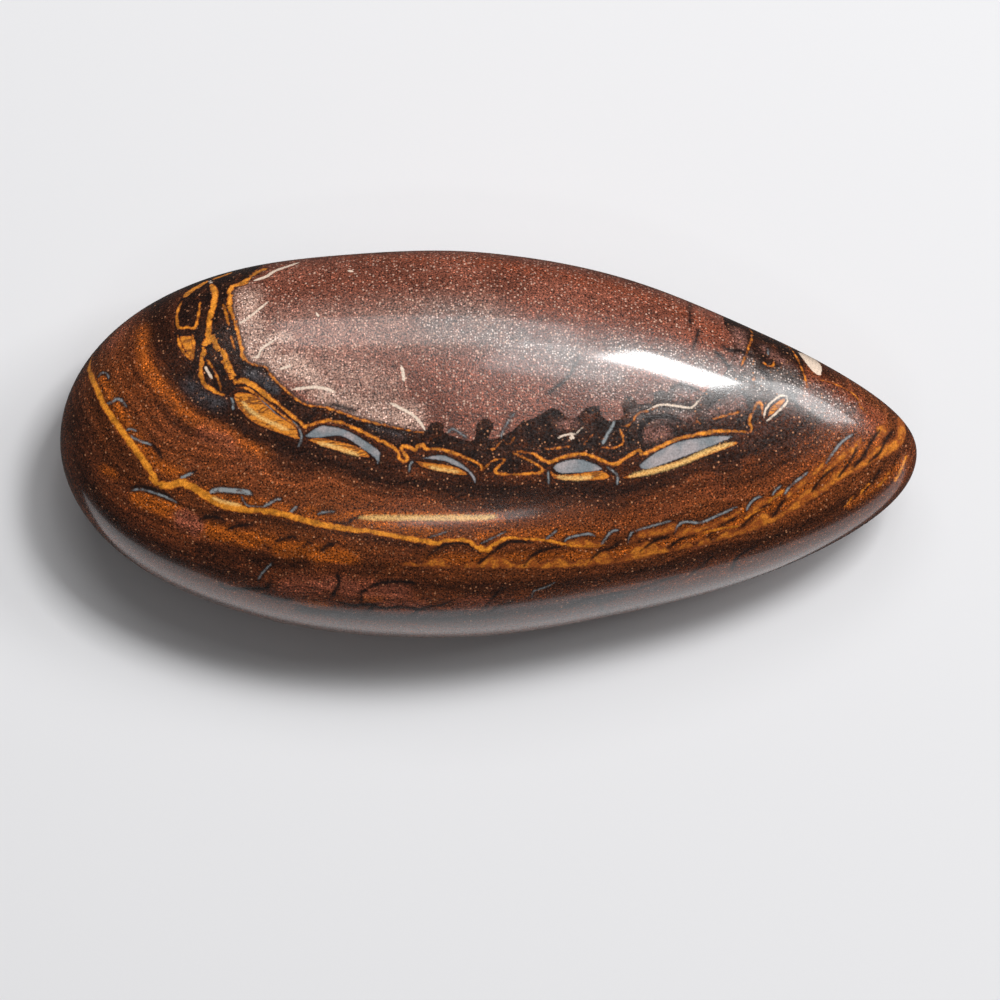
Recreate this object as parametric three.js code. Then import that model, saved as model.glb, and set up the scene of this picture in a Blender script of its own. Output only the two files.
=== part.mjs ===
// A polished boulder opal drop: one pebble of banded ironstone, ground to a teardrop with a domed crown, rounded
// flanks and a small flat ground on its underside, on which it lies.
// Millimetres, +Z up. X runs along the stone from its blunt end (-X) to its tip (+X), and -Y is its front flank.
// The origin is the middle of the stone's box, on the surface that it lies on.

import * as THREE from "three";

// Driving dimensions.
const LENGTH = 36.0;
const BLUNT_END_Y = 0.15;
const TIP_Y = -0.35;
const BLUNT_END_Z = 3.9;
const TIP_Z = 4.1;

// Each list gives a half size in mm at even steps from the tip to the blunt end. Times the sine of the station's angle,
// it is the distance from the line between the two ends to that side of the stone.
const BACK = [5.2, 6.3, 7.57, 8.15, 8.49, 9.2, 9.7];
const FRONT = [6.2, 6.72, 7.28, 8.05, 8.45, 8.75, 9.3];
const CROWN = [4.9, 4.9, 5.0, 5.1, 5.2, 5.7, 7.0];
const KEEL = [3.9, 4.3, 4.7, 4.9, 5.0, 5.0, 5.0];

// How far the crown's line, and the widest line of each flank, leave the line between the two ends.
const CREST_Y = [0.6, 0.5, 0.1, -0.15, -0.2, 0, 0];
const BACK_GIRDLE_Z = [0.9, 0.8, 0.5, 0.3, 0.2, 0.1, 0];
const FRONT_GIRDLE_Z = [-0.6, -0.9, -1.2, -1.4, -1.3, -1.1, -0.9];

// Exponents of the rounding: 2 is an ellipse, and more is squarer.
const CROWN_BACK_SQUARENESS = 2.6;
const CROWN_FRONT_SQUARENESS = 2.3;
const KEEL_SQUARENESS = 2.3;

// The underside is ground flat, and its rim is softened over this height.
const BASE_SOFTENING = 0.35;

// Hand grinding leaves long, shallow waves: a share of the section's size, and their turns along and around the stone.
const WAVES = [
  { share: 0.006, along: 2.6, around: 2, phase: 0.4 },
  { share: 0.004, along: 4.1, around: 3, phase: 2.1 },
  { share: 0.003, along: 6.3, around: 1, phase: 4.4 },
];

const STEPS_ALONG = 60;
const STEPS_AROUND = 52;

// The value of a list at c, the cosine of the station's angle: -1 at the tip and 1 at the blunt end.
function along(list, c) {
  const curve = new THREE.SplineCurve(list.map((value, i) => new THREE.Vector2(i, value)));
  return curve.getPoint((c + 1) / 2).y;
}

// The lines that the skin of one station is drawn between, at the station's angle.
function stationAt(angle) {
  const c = Math.cos(angle);
  const s = Math.sin(angle);
  const blunt = (1 + c) / 2;
  const midY = THREE.MathUtils.lerp(TIP_Y, BLUNT_END_Y, blunt);
  const midZ = THREE.MathUtils.lerp(TIP_Z, BLUNT_END_Z, blunt);
  return {
    x: (-LENGTH / 2) * c,
    midZ,
    crestY: midY + s * along(CREST_Y, c),
    backY: midY + s * along(BACK, c),
    frontY: midY - s * along(FRONT, c),
    crownZ: midZ + s * along(CROWN, c),
    keelZ: midZ - s * along(KEEL, c),
    backZ: midZ + s * along(BACK_GIRDLE_Z, c),
    frontZ: midZ + s * along(FRONT_GIRDLE_Z, c),
  };
}

function wavesAt(angle, turn) {
  return WAVES.reduce(
    (sum, wave) => sum + wave.share * Math.sin(wave.along * angle + wave.around * turn + wave.phase),
    1,
  );
}

// Lays the underside flat at z = 0, with a soft rim.
function ground(z) {
  if (z < -BASE_SOFTENING) return 0;
  if (z > BASE_SOFTENING) return z;
  return (z + BASE_SOFTENING) ** 2 / (4 * BASE_SOFTENING);
}

// A point of the skin. turn is 0 at the back girdle, a quarter turn at the crest and half a turn at the front girdle.
function skinAt(angle, turn) {
  const station = stationAt(angle);
  const across = Math.cos(turn);
  const up = Math.sin(turn);
  const back = across > 0;
  const girdleY = back ? station.backY : station.frontY;
  const girdleZ = back ? station.backZ : station.frontZ;
  const topSquareness = back ? CROWN_BACK_SQUARENESS : CROWN_FRONT_SQUARENESS;
  const power = 2 / (up > 0 ? topSquareness : KEEL_SQUARENESS);
  const farZ = up > 0 ? station.crownZ : station.keelZ;
  const wave = wavesAt(angle, turn);
  const y = station.crestY + (girdleY - station.crestY) * Math.abs(across) ** power * wave;
  const height = farZ - girdleZ + (farZ - station.midZ) * (wave - 1);
  const z = girdleZ + height * Math.abs(up) ** power;
  return new THREE.Vector3(station.x, y, ground(z));
}

// A ball whose poles become the stone's two ends.
function stoneGeometry() {
  const geometry = new THREE.SphereGeometry(1, STEPS_AROUND, STEPS_ALONG);
  const position = geometry.getAttribute("position");
  for (let i = 0; i < position.count; i++) {
    const angle = Math.acos(THREE.MathUtils.clamp(position.getY(i), -1, 1));
    const turn = Math.atan2(position.getZ(i), position.getX(i));
    const point = skinAt(angle, turn);
    position.setXYZ(i, point.x, point.y, point.z);
  }
  geometry.deleteAttribute("uv");
  geometry.computeVertexNormals();
  return geometry;
}

const stone = new THREE.Mesh(
  stoneGeometry(),
  new THREE.MeshStandardMaterial({ color: 0x6b3a24, roughness: 0.3, metalness: 0 }),
);
stone.name = "boulder_opal_stone";

const part = new THREE.Group();
part.add(stone);

export default part;
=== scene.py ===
from math import pi, radians

import bpy
import numpy as np
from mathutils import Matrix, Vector
from mathutils.kdtree import KDTree


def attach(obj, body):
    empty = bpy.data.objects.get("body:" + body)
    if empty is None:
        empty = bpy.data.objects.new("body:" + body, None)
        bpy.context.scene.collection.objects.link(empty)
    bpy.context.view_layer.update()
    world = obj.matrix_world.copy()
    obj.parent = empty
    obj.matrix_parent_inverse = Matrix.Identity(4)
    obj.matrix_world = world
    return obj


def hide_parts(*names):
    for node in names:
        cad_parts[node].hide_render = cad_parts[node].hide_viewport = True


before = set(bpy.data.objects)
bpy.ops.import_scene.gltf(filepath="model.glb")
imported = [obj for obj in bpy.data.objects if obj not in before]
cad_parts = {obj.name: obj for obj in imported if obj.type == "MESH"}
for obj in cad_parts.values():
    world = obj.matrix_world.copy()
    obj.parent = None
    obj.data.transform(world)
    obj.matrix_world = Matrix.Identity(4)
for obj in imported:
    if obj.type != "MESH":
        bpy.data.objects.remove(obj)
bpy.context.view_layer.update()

# Driving dimensions of the stone in mm, as in its CAD source.
LENGTH = 36.0
BLUNT_END_Y = 0.15
TIP_Y = -0.35
BLUNT_END_Z = 3.9
TIP_Z = 4.1

# Half sizes at even steps from the tip to the blunt end, each times the sine of the station's angle.
BACK = [5.2, 6.3, 7.57, 8.15, 8.49, 9.2, 9.7]
FRONT = [6.2, 6.72, 7.28, 8.05, 8.45, 8.75, 9.3]
CROWN = [4.9, 4.9, 5.0, 5.1, 5.2, 5.7, 7.0]
KEEL = [3.9, 4.3, 4.7, 4.9, 5.0, 5.0, 5.0]
CREST_Y = [0.6, 0.5, 0.1, -0.15, -0.2, 0, 0]
BACK_GIRDLE_Z = [0.9, 0.8, 0.5, 0.3, 0.2, 0.1, 0]
FRONT_GIRDLE_Z = [-0.6, -0.9, -1.2, -1.4, -1.3, -1.1, -0.9]

CROWN_BACK_SQUARENESS = 2.6
CROWN_FRONT_SQUARENESS = 2.3
KEEL_SQUARENESS = 2.3
BASE_SOFTENING = 0.35

# Long grinding waves: share of the section's size, turns along, turns around, phase.
WAVES = [(0.006, 2.6, 2, 0.4), (0.004, 4.1, 3, 2.1), (0.003, 6.3, 1, 4.4)]

# The photo's camera looks straight down. Places in mm, and its focal length in pixels of the photo.
CAMERA_X = 0.49
CAMERA_Y = -2.32
CAMERA_HEIGHT = 300.0
FRAME_PIXELS = 1000
GIRDLE_HEIGHT = 3.3
PIXELS_PER_MM = 23.73
FOCAL_PIXELS = PIXELS_PER_MM * (CAMERA_HEIGHT - GIRDLE_HEIGHT)
SENSOR_WIDTH = 36.0

CLIP_START = 0.01

MM = 0.001

# Mesh steps: the plain grid, and the longest edges in mm beside a marking, in view of the camera and behind.
STEPS_ALONG = 130
STEPS_AROUND = 150
FINE_EDGE = 0.09
FINE_EDGE_BEHIND = 0.4
FINE_PASSES = 3
RING_SAMPLES = 3000

# The middle of what the camera sees, in degrees around the stone.
SHOWN_DEGREES = 95

# How far apart a marking's points are set: in pixels of the photo, and in the measures of a hidden side.
MARK_STEP = 1.3
HIDDEN_STEP = 0.06
HIDDEN_STAIN_STEP = 0.4

# A marking narrows to this share of its width at its ends, and widens over this many shares of a half wave.
TAPER_START = 0.35
TAPER_RISE = 1.6

# Rounds of placing a pixel of the photo on the skin, whose height there is first unknown.
PLACING_ROUNDS = 8

# A length that is too short to divide by.
TINY = 1e-9

# The markings are traced in the photo's 1000 x 1000 frame: their points and widths are in pixels. One on
# a hidden side is given in mm along the stone and degrees around it: 0 is the back's widest line, 90 the crest,
# 180 the front's widest line and -90 the middle of the underside.

# The edge of the pinkish kernel, left to right. An orange line follows its first part.
KERNEL_EDGE_LINED = [
    (268, 262), (256, 270), (247, 282), (233, 288), (228, 301), (232, 311), (245, 358), (265, 366),
    (272, 376), (286, 390), (305, 404), (328, 408), (366, 421), (411, 431), (424, 432),
]
KERNEL_EDGE_BARE = [
    (426, 431), (430, 425), (436, 422), (441, 423), (444, 427), (445, 433), (469, 441), (475, 437),
    (476, 427), (480, 421), (486, 419), (492, 423), (493, 429), (488, 440), (501, 437), (515, 429),
    (522, 422), (532, 419), (548, 410), (556, 409), (568, 417), (577, 417), (584, 410), (598, 406),
    (601, 415), (609, 421), (615, 421), (623, 415), (622, 403), (626, 397), (633, 398), (637, 404),
    (644, 404), (653, 400), (654, 393), (661, 391), (668, 392), (672, 389), (682, 387), (691, 389),
    (698, 393), (704, 392), (713, 385), (726, 372), (733, 355), (733, 340), (726, 328), (722, 314),
]
KERNEL_EDGE_HIDDEN = [
    (10.0, 0), (9.2, -12), (6.5, -25), (2, -33), (-3, -34), (-7, -24), (-8.8, -10), (-9.2, 0),
]

# The rim of the dark net round the kernel: its left side, the long line over the pods, its right side, its
# front as one line, and its back.
NET_LEFT = [
    (188, 291), (177, 305), (174, 325), (177, 345), (190, 364), (200, 382), (212, 391), (226, 396),
]
POD_LINE = [
    (217, 342), (233, 378), (237, 381), (248, 382), (259, 388), (302, 424), (306, 426), (325, 421),
    (335, 422), (347, 425), (394, 448), (399, 458), (404, 461), (407, 458), (401, 448), (406, 446),
    (415, 450), (418, 446), (424, 445), (426, 449), (444, 450), (478, 463), (482, 470), (491, 462),
    (498, 459),
]
POD_LOOP = [
    (498, 459), (505, 460), (495, 471), (506, 474), (520, 474), (541, 472), (538, 465), (513, 453),
]
POD_LINE_RIGHT = [
    (513, 453), (517, 451), (534, 454), (548, 462), (563, 457), (578, 454), (589, 455), (609, 463),
    (615, 464), (620, 462), (635, 452), (640, 451), (644, 454), (672, 441), (685, 437), (711, 432),
    (726, 431), (747, 432), (752, 431),
]
POD_LINE_END = [
    (752, 431), (751, 425), (749, 422), (756, 405), (760, 402), (762, 407), (762, 414),
]
NET_FRONT = [
    (236, 388), (258, 390), (281, 407), (303, 427), (330, 423), (366, 436), (395, 450), (425, 448),
    (462, 458), (480, 470), (510, 473), (541, 470), (563, 458), (589, 456), (615, 465), (640, 453),
    (672, 442), (698, 435), (747, 433),
]
NET_RIGHT = [
    (762, 415), (776, 418), (792, 405), (800, 390), (806, 372), (800, 352),
]
NET_HIDDEN = [
    (13.1, 0), (12, -18), (9, -33), (4, -43), (-1, -47), (-6, -45), (-10, -34), (-12.3, -18), (-12.7, 0),
]

# Thin orange lines, as (width, points).
ORANGE_LINES = [
    (3.4, POD_LINE),
    (2.6, POD_LOOP),
    (3.6, POD_LINE_RIGHT),
    (2.8, POD_LINE_END),
    (2.0, KERNEL_EDGE_LINED),
    (6.5, [(252, 276), (240, 284), (232, 287), (229, 300), (232, 313)]),
    (4.8, [(232, 311), (244, 359)]),
    (7.0, [(211, 284), (215, 295), (210, 318)]),
    (6.0, [(212, 308), (209, 322), (208, 338)]),
    (10.0, [(206, 342), (212, 338), (217, 343)]),
    (8.5, [(214, 339), (221, 351), (233, 378), (237, 382)]),
    (6.5, [(208, 338), (204, 346), (203, 356)]),
    (4.4, [(204, 346), (202, 358), (201, 375), (206, 385), (215, 391), (224, 395)]),
    (7.0, [(234, 381), (248, 382), (259, 389), (275, 402)]),
    (2.4, [(236, 387), (246, 388), (256, 394), (300, 429)]),
    (2.4, [(206, 358), (212, 366), (218, 378), (221, 390)]),
    (1.8, [(222, 360), (231, 379)]),
    (3.0, [(182, 301), (178, 310), (177, 320), (179, 327), (187, 327), (196, 325), (200, 302)]),
    (7.5, [(184, 297), (192, 290), (207, 281)]),
    (6.0, [(213, 279), (232, 272)]),
    (6.5, [(250, 277), (258, 271), (267, 268)]),
    (3.0, [(178, 335), (180, 345), (185, 353), (192, 360)]),
    (3.0, [(192, 334), (194, 345), (192, 360)]),
    (2.6, [(223, 304), (229, 324)]),
    (1.8, [(231, 335), (235, 350)]),
    (1.5, [(503, 440), (507, 444), (511, 443), (515, 436)]),
    (1.4, [(488, 449), (494, 449), (501, 442)]),
    (1.8, [(545, 448), (551, 449), (571, 446)]),
    (1.2, [(584, 444), (594, 433)]),
    (1.6, [(602, 447), (611, 448), (623, 443), (620, 429)]),
    (1.8, [(621, 426), (629, 425), (639, 413), (649, 411), (657, 406)]),
    (1.8, [(697, 419), (698, 422), (702, 424)]),
    (2.2, [(713, 419), (739, 412)]),
    (2.0, [(749, 328), (752, 338), (741, 368)]),
    (2.4, [(779, 343), (787, 346), (793, 352), (802, 370), (807, 387)]),
    (2.0, [(763, 363), (769, 367), (773, 366), (774, 362)]),
    (3.5, [(752, 379), (755, 381)]),
    (1.6, [(819, 380), (833, 384), (847, 390), (856, 397), (861, 407), (868, 414)]),
    (2.6, [(700, 535), (712, 531), (740, 526)]),
    (2.6, [(745, 519), (754, 513), (764, 509)]),
    (3.0, [(768, 503), (776, 496), (784, 491)]),
    (2.6, [(844, 508), (853, 497)]),
    (2.6, [(860, 495), (867, 486), (871, 484)]),
    (2.8, [(878, 487), (885, 479), (889, 472)]),
    (4.0, [(894, 482), (899, 474), (907, 455)]),
]

# The two long gold lines of the front, and the stepped bodies that carry the first one on to the tip.
GOLD_LINES = [
    (7.0, [(93, 355), (90, 363), (90, 373), (101, 398), (107, 410), (150, 470), (158, 485)]),
    (8.5, [(150, 478), (157, 484), (168, 486), (185, 484), (218, 503), (230, 507), (260, 511)]),
    (6.5, [(248, 509), (280, 513), (322, 524), (371, 531)]),
    (5.4, [(355, 528), (426, 540), (442, 541)]),
    (4.2, [(436, 541), (463, 539), (478, 547), (485, 549), (506, 538), (518, 538)]),
    (3.0, [(518, 538), (546, 540), (568, 545), (579, 546), (594, 547), (605, 545)]),
    (6.0, [(426, 540), (433, 542), (442, 541)]),
    (7.0, [(478, 546), (485, 549), (492, 546)]),
]

# The orange bodies that the gold line breaks up into, and the humped band below them.
ORANGE_FILLS = [
    [(563, 543), (570, 540), (580, 539), (592, 540), (606, 545), (600, 548), (588, 549), (574, 548)],
    [(629, 544), (634, 537), (642, 531), (664, 527), (674, 522), (678, 524), (676, 530), (668, 535),
     (644, 538)],
    [(672, 537), (680, 530), (690, 527), (702, 526), (728, 516), (738, 510), (742, 511), (736, 517),
     (708, 530), (682, 538)],
    [(746, 514), (752, 506), (760, 500), (768, 499), (772, 502), (756, 513), (749, 516)],
    [(785, 498), (792, 488), (812, 472), (820, 463), (826, 460), (824, 467), (816, 476), (788, 499)],
    [(822, 474), (830, 462), (838, 454), (846, 448), (850, 450), (846, 458), (830, 473), (824, 477)],
    [(848, 450), (852, 443), (858, 437), (862, 438), (862, 445), (857, 452), (851, 456)],
    [(876, 426), (884, 424), (888, 430), (884, 437), (877, 437)],
    [(400, 562), (410, 560), (420, 563), (433, 556), (440, 556), (446, 561), (455, 565), (463, 565),
     (468, 561), (474, 561), (480, 563), (485, 558), (492, 554), (500, 554), (506, 559), (514, 563),
     (522, 564), (527, 559), (533, 556), (538, 561), (546, 563), (552, 559), (560, 557), (567, 561),
     (573, 562), (580, 558), (590, 557), (598, 552), (606, 551), (618, 560), (642, 543), (654, 543),
     (668, 549), (677, 548), (684, 543), (690, 543), (696, 546), (702, 540), (708, 537), (712, 541),
     (718, 538), (724, 532), (745, 527), (760, 514), (766, 513), (772, 516), (780, 514), (788, 508),
     (804, 491), (812, 488), (817, 490), (826, 482), (836, 470), (842, 467), (850, 466), (860, 462),
     (876, 447), (892, 440), (897, 430), (897, 418), (902, 414), (905, 425), (906, 436), (900, 447),
     (888, 456), (856, 472), (786, 517), (740, 536), (650, 558), (620, 564), (580, 568), (540, 569),
     (420, 566)],
]

# The gold bodies of the pods.
GOLD_FILLS = [
    [(234, 394), (239, 392), (248, 393), (256, 396), (275, 413), (292, 424), (297, 430), (298, 436),
     (297, 439), (257, 424), (241, 410), (236, 402)],
    [(308, 440), (318, 438), (345, 443), (357, 447), (366, 452), (369, 457), (363, 457), (350, 454),
     (325, 447)],
    [(415, 461), (452, 466), (467, 474), (455, 474), (430, 469), (421, 466)],
    [(550, 470), (560, 475), (596, 471), (605, 472), (609, 476), (605, 479), (592, 480), (557, 479)],
    [(623, 477), (688, 458), (719, 445), (736, 442), (730, 447), (667, 469), (629, 478)],
    [(768, 416), (770, 409), (776, 403), (783, 399), (785, 401), (779, 408), (773, 414)],
    [(180, 336), (191, 336), (193, 345), (191, 357), (181, 342)],
]

# The grey-blue opal of the pods.
OPAL_FILLS = [
    [(304, 436), (318, 427), (327, 426), (348, 431), (377, 449), (380, 456), (378, 464), (376, 464),
     (375, 458), (348, 439), (335, 436), (315, 438)],
    [(420, 458), (439, 455), (449, 457), (459, 462), (467, 468), (474, 475), (476, 481), (475, 483),
     (468, 472), (452, 464), (444, 461)],
    [(553, 468), (558, 463), (579, 459), (602, 468), (589, 472), (573, 473), (560, 473)],
    [(639, 465), (655, 453), (678, 442), (706, 437), (730, 436), (724, 441), (652, 468)],
]

# Opal slivers and hooks.
OPAL_LINES = [
    (2.6, [(292, 421), (298, 427), (301, 434), (301, 441), (298, 447)]),
    (2.6, [(413, 461), (410, 465), (409, 472)]),
    (2.4, [(548, 471), (549, 484)]),
    (2.6, [(607, 467), (617, 475), (617, 485)]),
    (2.2, [(258, 396), (276, 414), (286, 420)]),
    (3.0, [(231, 397), (233, 402), (233, 410)]),
    (2.4, [(98, 377), (102, 373), (107, 374), (109, 379)]),
    (3.0, [(105, 404), (111, 403), (116, 399), (121, 400), (127, 407)]),
    (2.4, [(125, 431), (130, 429), (137, 431)]),
    (2.8, [(129, 435), (137, 440), (152, 445)]),
    (3.4, [(170, 483), (179, 482), (182, 478), (193, 473)]),
    (5.5, [(209, 494), (214, 491), (222, 490), (244, 492), (252, 494)]),
    (1.8, [(242, 497), (244, 502), (249, 506), (263, 507)]),
    (3.0, [(263, 507), (276, 500), (281, 499)]),
    (3.2, [(290, 513), (297, 506)]),
    (2.6, [(318, 514), (322, 512), (334, 511)]),
    (2.0, [(429, 536), (447, 531)]),
    (2.0, [(481, 543), (506, 531)]),
    (2.6, [(546, 539), (557, 530)]),
    (2.8, [(564, 542), (568, 538), (576, 536), (588, 534), (595, 536)]),
    (3.0, [(601, 546), (610, 533), (619, 530)]),
    (2.6, [(628, 543), (630, 536), (636, 531), (671, 521)]),
    (3.0, [(675, 533), (678, 526), (685, 522), (697, 523), (706, 521), (737, 507)]),
    (2.8, [(746, 511), (750, 504), (757, 498), (762, 497)]),
    (2.4, [(772, 496), (776, 490), (781, 486)]),
    (3.0, [(784, 495), (791, 486), (808, 472)]),
    (3.0, [(826, 463), (835, 450), (843, 441), (853, 434)]),
    (2.8, [(131, 491), (142, 490), (162, 496), (177, 503)]),
    (2.4, [(258, 579), (262, 572), (272, 562)]),
    (2.2, [(532, 599), (534, 592), (546, 588), (555, 583)]),
    (2.2, [(448, 433), (453, 429), (467, 438)]),
    (2.2, [(515, 413), (510, 419), (502, 433), (502, 439)]),
    (3.6, [(602, 445), (615, 421)]),
    (2.4, [(768, 349), (768, 356)]),
]

# Dark cracks and outlines.
DARK_LINES = [
    (1.8, [(327, 433), (335, 432), (348, 436), (359, 441)]),
    (2.4, [(332, 404), (355, 411)]),
    (3.0, [(745, 373), (740, 381), (740, 390), (748, 398), (750, 409)]),
    (2.8, [(757, 370), (765, 374), (771, 383), (770, 391)]),
    (3.0, [(786, 392), (793, 397), (799, 411)]),
    (2.6, [(732, 389), (714, 401), (708, 408)]),
    (2.4, [(672, 389), (682, 385), (699, 391)]),
    (2.2, [(580, 356), (568, 377), (548, 394)]),
    (2.4, [(690, 300), (690, 324)]),
    (2.2, [(699, 330), (693, 350)]),
    (2.8, [(722, 347), (731, 351), (741, 352), (752, 357)]),
    (2.8, [(715, 352), (724, 361), (729, 368)]),
    (1.8, [(236, 385), (258, 392), (282, 409), (300, 428)]),
    (2.0, [(188, 474), (196, 471)]),
    (2.0, [(334, 522), (341, 523), (348, 522), (353, 518), (362, 516)]),
    (1.8, [(152, 445), (158, 451), (162, 458)]),
    (3.0, [(200, 520), (208, 517), (219, 518), (223, 521)]),
    (2.6, [(229, 529), (236, 526), (253, 524)]),
    (2.4, [(276, 541), (291, 536), (297, 538)]),
    (2.4, [(302, 546), (307, 543), (312, 542)]),
    (3.0, [(321, 550), (327, 545), (335, 543)]),
    (2.6, [(131, 488), (142, 487), (158, 491), (173, 498)]),
    (3.6, [(220, 582), (228, 587), (258, 587), (267, 586), (271, 580)]),
    (3.0, [(337, 572), (339, 581), (332, 595)]),
    (2.4, [(408, 618), (416, 611), (425, 607), (440, 605), (449, 602)]),
    (2.2, [(480, 615), (499, 591), (506, 588)]),
    (2.0, [(487, 616), (497, 609), (513, 602)]),
    (2.6, [(426, 557), (442, 545), (453, 542), (464, 542), (473, 546), (480, 552)]),
    (2.4, [(478, 563), (502, 545), (513, 541), (532, 542)]),
    (2.4, [(524, 566), (532, 556), (545, 549), (560, 547)]),
    (2.4, [(590, 561), (600, 552), (612, 548), (620, 541)]),
    (2.4, [(640, 552), (655, 541), (668, 537)]),
    (2.4, [(668, 549), (680, 540), (694, 536)]),
    (2.4, [(706, 538), (722, 526), (736, 518)]),
    (2.4, [(742, 527), (756, 513), (770, 503)]),
    (2.6, [(772, 518), (782, 503), (786, 499)]),
    (2.6, [(812, 492), (822, 478), (836, 467)]),
    (2.6, [(838, 478), (850, 462), (858, 446)]),
    (2.6, [(852, 470), (864, 455), (872, 440), (880, 430)]),
    (2.6, [(868, 463), (880, 452), (886, 440), (893, 430)]),
]

# The ring round the right blush patch, and cracks of the front flank.
FLANK_CRACKS = [
    (5.0, [(641, 441), (640, 430), (646, 421), (656, 417), (670, 417), (682, 422)]),
    (1.8, [(688, 577), (700, 568), (712, 557)]),
    (2.6, [(732, 571), (736, 560), (745, 552), (757, 546)]),
    (1.8, [(636, 591), (655, 584), (680, 577)]),
    (2.4, [(597, 602), (602, 611), (613, 617)]),
    (1.8, [(556, 613), (590, 600), (640, 590)]),
    (3.2, [(341, 601), (352, 604), (368, 603), (384, 607), (402, 606), (425, 610)]),
    (2.6, [(362, 618), (370, 608), (378, 602)]),
    (3.2, [(370, 585), (384, 581), (400, 580), (414, 582)]),
    (2.6, [(362, 600), (361, 592), (366, 588)]),
    (3.0, [(420, 618), (440, 620), (470, 617), (500, 620)]),
    (2.6, [(300, 604), (318, 609), (338, 611)]),
    (2.6, [(262, 592), (276, 597), (292, 598)]),
    (2.0, [(862, 492), (872, 482), (880, 470)]),
]

# Cream and white: cracks of the kernel, chips and the brightest slivers.
PALE_LINES = [
    (2.3, [(239, 322), (247, 318), (268, 301)]),
    (2.4, [(252, 357), (258, 356), (262, 348), (275, 339)]),
    (2.4, [(279, 369), (291, 365)]),
    (2.8, [(293, 389), (318, 387), (335, 392)]),
    (2.8, [(390, 403), (414, 416), (425, 430)]),
    (3.0, [(401, 366), (403, 372), (404, 381)]),
    (4.0, [(254, 280), (266, 276), (276, 270), (299, 262)]),
    (2.6, [(205, 366), (212, 378)]),
    (2.0, [(558, 438), (565, 435), (572, 434), (576, 435)]),
    (4.5, [(570, 437), (574, 438)]),
    (1.4, [(576, 434), (583, 427)]),
    (2.0, [(648, 410), (657, 406), (667, 405), (689, 408), (694, 406), (702, 397)]),
    (2.0, [(764, 418), (766, 409), (773, 401), (781, 396), (787, 397)]),
    (2.0, [(787, 398), (787, 402), (781, 409), (767, 421)]),
    (3.6, [(531, 273), (533, 273)]),
    (3.0, [(348, 270), (353, 271)]),
    (2.4, [(316, 312), (319, 316)]),
    (3.4, [(209, 280), (212, 283)]),
]

# The cream chip at the back edge.
CREAM_FILLS = [
    [(798, 353), (807, 355), (815, 360), (821, 367), (820, 376), (811, 370)],
]

# The brightest gold, with a painted highlight: pale gold glints on the lower edges of the pods and of the
# layers, and the front's highlight line in the first row.
PAINTED_GLINT_LINES = [
    (5.0, [(360, 517), (470, 517), (496, 516)]),
    (3.4, [(243, 402), (250, 410), (262, 418), (288, 430)]),
    (3.4, [(318, 443), (332, 446), (358, 455)]),
    (2.8, [(430, 467), (458, 472)]),
    (3.4, [(558, 477), (575, 478), (592, 477)]),
    (4.6, [(630, 476), (668, 467), (688, 460), (706, 452), (733, 443)]),
    (3.0, [(213, 498), (224, 502), (240, 505)]),
]

# Soft patches, as (radius, strength, points).
ORANGE_STAINS = [
    (13, 0.9, [(143, 330), (144, 355), (152, 375), (165, 390)]),
    (13, 0.9, [(165, 390), (197, 419), (262, 450)]),
    (11, 1.0, [(100, 378), (126, 424), (143, 447), (160, 466), (182, 476)]),
    (12, 1.0, [(205, 495), (290, 512)]),
    (12, 1.1, [(310, 514), (440, 534)]),
    (8, 1.6, [(350, 516), (500, 517)]),
    (11, 0.8, [(203, 525), (296, 545), (334, 550)]),
    (13, 2.2, [(138, 499), (174, 512)]),
    (13, 2.4, [(206, 530), (224, 533)]),
    (12, 2.4, [(238, 538), (256, 539)]),
    (12, 2.4, [(280, 549), (298, 551)]),
    (10, 2.2, [(314, 554), (348, 556)]),
    (8, 1.1, [(104, 470), (114, 474)]),
    (10, 0.8, [(480, 536), (540, 533), (600, 536)]),
    (10, 1.0, [(430, 559), (600, 556)]),
    (10, 1.0, [(600, 556), (660, 546), (720, 529), (780, 504)]),
    (11, 1.0, [(780, 506), (868, 448), (886, 425)]),
    (8, 1.0, [(640, 531), (700, 526), (740, 512), (800, 484), (845, 443)]),
    (8, 1.0, [(303, 603), (325, 604)]),
    (8, 1.0, [(364, 597), (382, 598)]),
    (9, 0.8, [(852, 505), (880, 484), (905, 460)]),
]
DARK_STAINS = [
    (24, 0.9, [(160, 300), (162, 325), (172, 350)]),
    (22, 1.3, [(190, 372), (203, 398), (222, 408)]),
    (13, 1.2, [(236, 420), (262, 438), (340, 466)]),
    (12, 1.2, [(340, 466), (390, 480), (500, 491)]),
    (12, 1.3, [(500, 491), (620, 489), (660, 480)]),
    (12, 1.0, [(660, 480), (745, 450), (780, 432)]),
    (11, 0.8, [(380, 583), (530, 585), (600, 580)]),
    (11, 0.9, [(600, 580), (670, 566), (740, 547), (800, 525), (850, 497)]),
    (7, 0.7, [(215, 512), (260, 517), (420, 546)]),
    (14, 0.6, [(95, 400), (112, 440), (135, 472)]),
    (20, 1.0, [(200, 548), (250, 560), (300, 562)]),
    (22, 0.9, [(205, 566), (245, 574)]),
    (30, 0.9, [(72, 420), (84, 470), (106, 512), (140, 542), (180, 560)]),
    (12, 1.3, [(300, 608), (340, 614), (450, 620), (540, 612), (620, 598)]),
]
PINK_STAINS = [
    (15, 2.4, [(182, 520), (194, 526)]),
    (19, 1.0, [(290, 584), (330, 584), (400, 592)]),
    (15, 1.0, [(385, 605), (420, 607)]),
    (13, 1.0, [(464, 603), (486, 604)]),
    (20, 0.7, [(110, 345), (130, 320), (160, 296)]),
    (14, 0.6, [(205, 430), (230, 442)]),
    (26, 0.8, [(560, 388), (600, 395), (640, 385)]),
    (18, 0.8, [(642, 434), (668, 432)]),
    (14, 0.8, [(560, 421), (578, 424)]),
    (26, 0.6, [(790, 385), (840, 400), (875, 425)]),
]
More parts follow.
